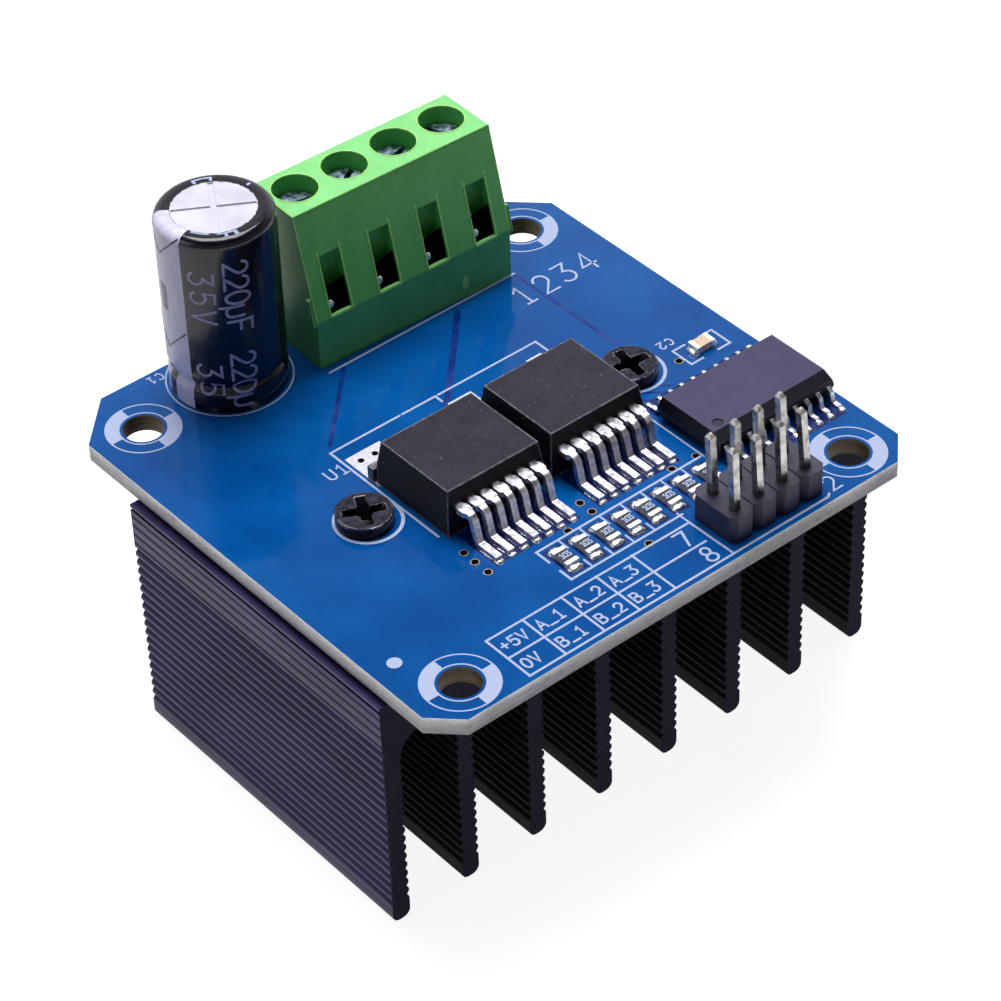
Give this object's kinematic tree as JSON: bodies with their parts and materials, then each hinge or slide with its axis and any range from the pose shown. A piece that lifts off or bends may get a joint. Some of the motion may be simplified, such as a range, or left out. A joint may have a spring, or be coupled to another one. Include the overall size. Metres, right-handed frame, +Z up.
{
  "type": "dc motor driver module",
  "caption": "Square driver board with two power chips, a screw terminal block and a pin header, bolted to a finned black heatsink",
  "frame": {"origin": "under the middle of the whole part, in the plane of the fin tips", "axes": "+Z up out of the board's component side; X along the board's front edge, across the fins; Y from the pin header's edge to the terminal block's edge"},
  "size_m": [0.052, 0.0503, 0.0431],
  "materials": {
    "black_anodised": "black anodised, fine die lines",
    "pad_grey": "soft silicone",
    "board_blue": "blue lacquered glass-fibre",
    "black_steel": "black oxide",
    "can_aluminium": "plain drawn aluminium",
    "sleeve_black": "shrunk sleeve",
    "bung_rubber": "moulded",
    "tinned_copper": "tin plated",
    "housing_green": "satin moulded",
    "zinc_steel": "zinc plated",
    "nickel_brass": "nickel plated",
    "copper_tab": "tin plated copper",
    "chip_black": "moulded epoxy",
    "header_black": "moulded",
    "tinned_pin": "tin plated",
    "resistor_black": "glazed, with tinned ends",
    "ceramic_tan": "fired, with tinned ends",
    "solder": "bright solder"
  },
  "bodies": {
    "module": {"heatsink": "black_anodised", "thermal_pad": "pad_grey", "circuit_board": "board_blue", "board_screw_1": "black_steel", "board_screw_2": "black_steel", "capacitor_can": "can_aluminium", "capacitor_sleeve": "sleeve_black", "capacitor_bung": "bung_rubber", "capacitor_leads": "tinned_copper", "power_chip_1_leads": "tinned_copper", "power_chip_2_leads": "tinned_copper", "logic_chip_leads": "tinned_copper", "terminal_housing": "housing_green", "terminal_pin_1": "tinned_copper", "terminal_pin_2": "tinned_copper", "terminal_pin_3": "tinned_copper", "terminal_pin_4": "tinned_copper", "power_chip_1_tab": "copper_tab", "power_chip_2_tab": "copper_tab", "power_chip_1_body": "chip_black", "power_chip_2_body": "chip_black", "logic_chip_body": "chip_black", "header_body": "header_black", "header_pin_1": "tinned_pin", "header_pin_2": "tinned_pin", "header_pin_3": "tinned_pin", "header_pin_4": "tinned_pin", "header_pin_5": "tinned_pin", "header_pin_6": "tinned_pin", "header_pin_7": "tinned_pin", "header_pin_8": "tinned_pin", "chip_resistor_1": "resistor_black", "chip_resistor_2": "resistor_black", "chip_resistor_3": "resistor_black", "chip_resistor_4": "resistor_black", "chip_resistor_5": "resistor_black", "chip_resistor_6": "resistor_black", "chip_resistor_7": "resistor_black", "chip_resistor_8": "resistor_black", "ceramic_capacitor": "ceramic_tan", "terminal_solder": "solder", "header_solder": "solder", "capacitor_solder": "solder"},
    "screw_1": {"terminal_screw_1": "zinc_steel"},
    "clamp_1": {"terminal_clamp_1": "nickel_brass"},
    "screw_2": {"terminal_screw_2": "zinc_steel"},
    "clamp_2": {"terminal_clamp_2": "nickel_brass"},
    "screw_3": {"terminal_screw_3": "zinc_steel"},
    "clamp_3": {"terminal_clamp_3": "nickel_brass"},
    "screw_4": {"terminal_screw_4": "zinc_steel"},
    "clamp_4": {"terminal_clamp_4": "nickel_brass"}
  },
  "joints": [
    {"name": "terminal_screw_1_turn", "type": "hinge", "parent": "module", "child": "screw_1", "pos_m": [-0.00239, 0.02138, 0.0355], "axis": [0, 0, 1], "range_deg": [-1728, 0]},
    {"name": "terminal_clamp_1_rise", "type": "slide", "parent": "module", "child": "clamp_1", "axis": [0, 0, 1], "range_m": [0, 0.0024]},
    {"name": "terminal_screw_2_turn", "type": "hinge", "parent": "module", "child": "screw_2", "pos_m": [0.00269, 0.02123, 0.0355], "axis": [0, 0, 1], "range_deg": [-1728, 0]},
    {"name": "terminal_clamp_2_rise", "type": "slide", "parent": "module", "child": "clamp_2", "axis": [0, 0, 1], "range_m": [0, 0.0024]},
    {"name": "terminal_screw_3_turn", "type": "hinge", "parent": "module", "child": "screw_3", "pos_m": [0.00777, 0.02107, 0.0355], "axis": [0, 0, 1], "range_deg": [-1728, 0]},
    {"name": "terminal_clamp_3_rise", "type": "slide", "parent": "module", "child": "clamp_3", "axis": [0, 0, 1], "range_m": [0, 0.0024]},
    {"name": "terminal_screw_4_turn", "type": "hinge", "parent": "module", "child": "screw_4", "pos_m": [0.01284, 0.02092, 0.0355], "axis": [0, 0, 1], "range_deg": [-1728, 0]},
    {"name": "terminal_clamp_4_rise", "type": "slide", "parent": "module", "child": "clamp_4", "axis": [0, 0, 1], "range_m": [0, 0.0024]}
  ],
  "couplings": [
    {"joint": "terminal_screw_1_turn", "follows": "terminal_clamp_1_rise", "rad_per_m": -12566},
    {"joint": "terminal_screw_2_turn", "follows": "terminal_clamp_2_rise", "rad_per_m": -12566},
    {"joint": "terminal_screw_3_turn", "follows": "terminal_clamp_3_rise", "rad_per_m": -12566},
    {"joint": "terminal_screw_4_turn", "follows": "terminal_clamp_4_rise", "rad_per_m": -12566}
  ]
}
